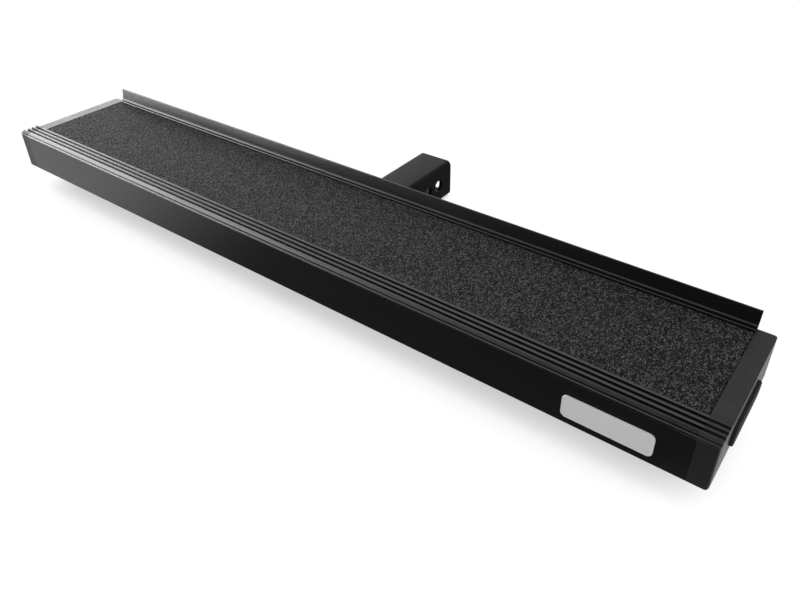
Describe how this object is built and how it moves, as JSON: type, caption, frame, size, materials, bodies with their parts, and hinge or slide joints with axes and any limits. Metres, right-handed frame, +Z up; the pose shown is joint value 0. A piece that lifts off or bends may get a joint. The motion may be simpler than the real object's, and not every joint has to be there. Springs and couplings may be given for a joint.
{
  "type": "hitch step",
  "caption": "Long step board with a ribbed nosing, a grit tread and a rear lip, bolted to a square hitch tube with cross pin holes.",
  "frame": {"origin": "centre of the main pin hole, on the axis of the square hitch tube", "axes": "+X along the deck to the end that carries the name plate, along the pin hole; +Y towards the vehicle, along the tube; +Z up"},
  "size_m": [0.9544, 0.3203, 0.0991],
  "materials": {
    "powder_coat": "satin black powder coat on an aluminium extrusion",
    "grit_mat": "coarse grit",
    "cap_plastic": "fine moulded grain",
    "pad_rubber": "smooth, satin",
    "plate_silver": "satin silver",
    "tube_coat": "satin black powder coat on steel",
    "zinc": "zinc plated"
  },
  "bodies": {
    "root": {"deck_extrusion": "powder_coat", "tread_mat": "grit_mat", "end_cap_left": "cap_plastic", "end_cap_right": "cap_plastic", "end_pad_left": "pad_rubber", "end_pad_right": "pad_rubber", "cap_screws_left": "zinc", "cap_screws_right": "zinc", "name_plate": "plate_silver", "hitch_tube": "tube_coat", "mounting_plate": "tube_coat", "gusset_front_left": "tube_coat", "gusset_front_right": "tube_coat", "gusset_rear_left": "tube_coat", "gusset_rear_right": "tube_coat", "weld_beads": "tube_coat", "deck_bolts": "zinc", "flat_washers": "zinc", "spring_washers": "zinc", "hex_nuts": "zinc"}
  },
  "joints": []
}
